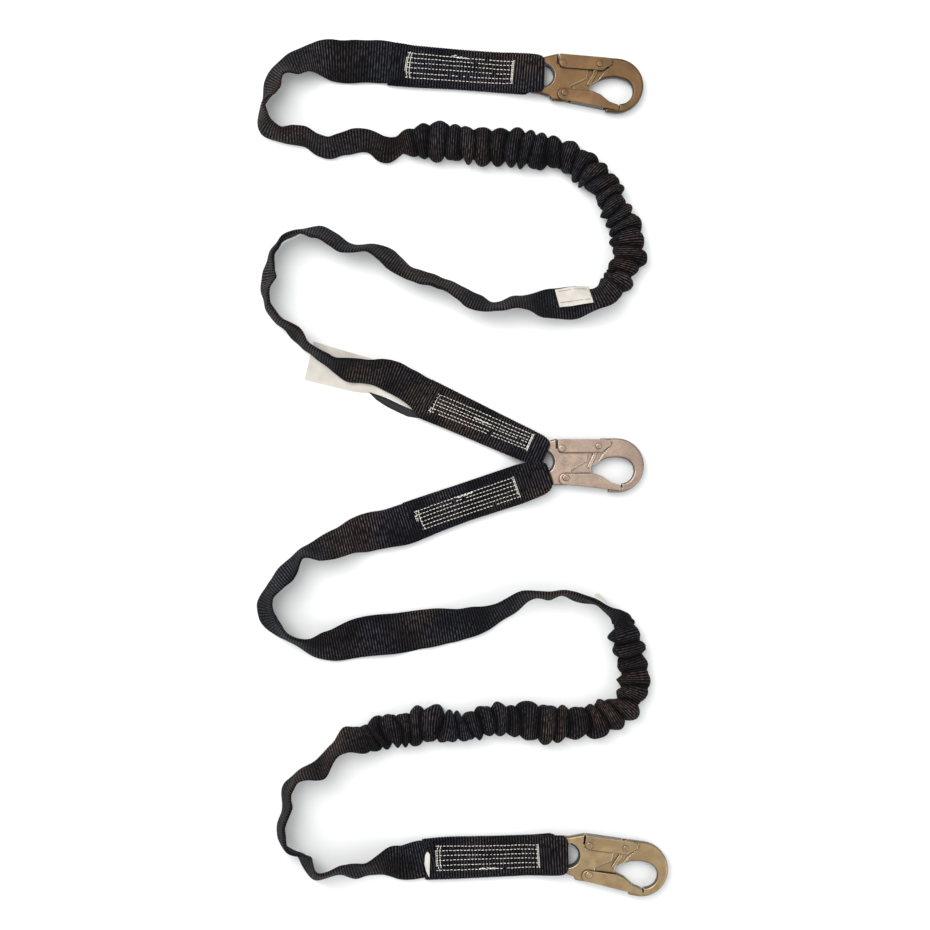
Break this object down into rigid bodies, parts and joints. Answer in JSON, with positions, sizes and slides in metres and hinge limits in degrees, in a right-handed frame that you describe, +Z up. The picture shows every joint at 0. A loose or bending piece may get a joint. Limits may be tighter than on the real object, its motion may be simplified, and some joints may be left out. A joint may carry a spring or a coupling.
{
  "type": "shock absorbing lanyard",
  "caption": "Twin-leg fall protection lanyard of black tubular webbing with gathered shock absorbing stretches, sewn ends and plated double-locking snap hooks.",
  "frame": {"origin": "bottom centre of the box round the hooks and sewn ends, on the surface that the lanyard lies on", "axes": "+Y along the row of three hooks, towards the upper anchor hook; +Z up out of the surface; hooks point to +X"},
  "size_m": [0.4328, 0.8893, 0.0271],
  "materials": {
    "sewn_web": "woven polyester webbing",
    "thread": "twisted thread",
    "tubular_web": "woven tubular polyester webbing",
    "core_strap": "woven strap",
    "elastic": "woven elastic",
    "label": "coated label film",
    "label_flap": "coated fabric",
    "eye_liner": "moulded plastic",
    "spring_wire": "drawn spring wire",
    "rivet_steel": "plated rivet",
    "bronze_plated_steel": "forged, dichromate plated",
    "champagne_plated_steel": "forged, dichromate plated",
    "gold_plated_steel": "forged, dichromate plated"
  },
  "bodies": {
    "webbing": {"upper_anchor_sewn_end": "sewn_web", "upper_harness_sewn_end": "sewn_web", "lower_harness_sewn_end": "sewn_web", "lower_anchor_sewn_end": "sewn_web", "upper_anchor_stitching": "thread", "upper_harness_stitching": "thread", "lower_harness_stitching": "thread", "lower_anchor_stitching": "thread", "upper_leg_tubular_webbing": "tubular_web", "upper_leg_absorber_core": "core_strap", "upper_leg_elastic_band": "elastic", "lower_leg_tubular_webbing": "tubular_web", "lower_leg_absorber_core": "core_strap", "lower_leg_elastic_band": "elastic", "main_label": "label", "label_cover_flap": "label_flap", "upper_leg_tag": "label", "lower_leg_tag": "label", "lower_anchor_end_label": "label"},
    "upper_anchor_hook": {"upper_anchor_hook_body": "bronze_plated_steel", "upper_anchor_eye_liner": "eye_liner", "upper_anchor_gate_pin": "rivet_steel", "upper_anchor_lever_pin": "rivet_steel"},
    "upper_anchor_gate": {"upper_anchor_gate": "bronze_plated_steel", "upper_anchor_gate_spring": "spring_wire"},
    "upper_anchor_lever": {"upper_anchor_lock_lever": "bronze_plated_steel", "upper_anchor_lever_stop_pin": "rivet_steel", "upper_anchor_lever_spring": "spring_wire"},
    "harness_hook": {"harness_hook_body": "champagne_plated_steel", "harness_eye_liner": "eye_liner", "harness_gate_pin": "rivet_steel", "harness_lever_pin": "rivet_steel"},
    "harness_gate": {"harness_gate": "champagne_plated_steel", "harness_gate_spring": "spring_wire"},
    "harness_lever": {"harness_lock_lever": "champagne_plated_steel", "harness_lever_stop_pin": "rivet_steel", "harness_lever_spring": "spring_wire"},
    "lower_anchor_hook": {"lower_anchor_hook_body": "gold_plated_steel", "lower_anchor_eye_liner": "eye_liner", "lower_anchor_gate_pin": "rivet_steel", "lower_anchor_lever_pin": "rivet_steel"},
    "lower_anchor_gate": {"lower_anchor_gate": "gold_plated_steel", "lower_anchor_gate_spring": "spring_wire"},
    "lower_anchor_lever": {"lower_anchor_lock_lever": "gold_plated_steel", "lower_anchor_lever_stop_pin": "rivet_steel", "lower_anchor_lever_spring": "spring_wire"}
  },
  "joints": [
    {"name": "upper_anchor_hook_swing", "type": "hinge", "parent": "webbing", "child": "upper_anchor_hook", "pos_m": [0.0049, 0.4098, 0.0088], "axis": [-0.0872, -0.9962, 0], "range_deg": [0, 110]},
    {"name": "upper_anchor_gate_hinge", "type": "hinge", "parent": "upper_anchor_hook", "child": "upper_anchor_gate", "pos_m": [0.03644, 0.39048, 0.0088], "axis": [0, 0, 1], "range_deg": [0, 26], "stiffness_Nm_per_rad": 0.12, "springref_deg": -28.65},
    {"name": "upper_anchor_lever_hinge", "type": "hinge", "parent": "upper_anchor_hook", "child": "upper_anchor_lever", "pos_m": [0.07306, 0.4201, 0.0088], "axis": [0, 0, 1], "range_deg": [0, 4], "stiffness_Nm_per_rad": 0.12, "springref_deg": -17.19},
    {"name": "harness_hook_swing", "type": "hinge", "parent": "webbing", "child": "harness_hook", "pos_m": [0.0047, 0.0074, 0.0088], "axis": [0, -1, 0], "range_deg": [0, 110]},
    {"name": "harness_gate_hinge", "type": "hinge", "parent": "harness_hook", "child": "harness_gate", "pos_m": [0.0378, -0.0091, 0.0088], "axis": [0, 0, 1], "range_deg": [0, 26], "stiffness_Nm_per_rad": 0.12, "springref_deg": -28.65},
    {"name": "harness_lever_hinge", "type": "hinge", "parent": "harness_hook", "child": "harness_lever", "pos_m": [0.0717, 0.0236, 0.0088], "axis": [0, 0, 1], "range_deg": [0, 4], "stiffness_Nm_per_rad": 0.12, "springref_deg": -17.19},
    {"name": "lower_anchor_hook_swing", "type": "hinge", "parent": "webbing", "child": "lower_anchor_hook", "pos_m": [0.0312, -0.4005, 0.0088], "axis": [-0.1392, -0.9903, 0], "range_deg": [0, 110]},
    {"name": "lower_anchor_gate_hinge", "type": "hinge", "parent": "lower_anchor_hook", "child": "lower_anchor_gate", "pos_m": [0.06168, -0.42145, 0.0088], "axis": [0, 0, 1], "range_deg": [0, 26], "stiffness_Nm_per_rad": 0.12, "springref_deg": -28.65},
    {"name": "lower_anchor_lever_hinge", "type": "hinge", "parent": "lower_anchor_hook", "child": "lower_anchor_lever", "pos_m": [0.0998, -0.39378, 0.0088], "axis": [0, 0, 1], "range_deg": [0, 4], "stiffness_Nm_per_rad": 0.12, "springref_deg": -17.19}
  ],
  "couplings": [
    {"joint": "upper_anchor_lever_hinge", "follows": "upper_anchor_gate_hinge", "ratio": 0.15},
    {"joint": "harness_lever_hinge", "follows": "harness_gate_hinge", "ratio": 0.15},
    {"joint": "lower_anchor_lever_hinge", "follows": "lower_anchor_gate_hinge", "ratio": 0.15}
  ]
}
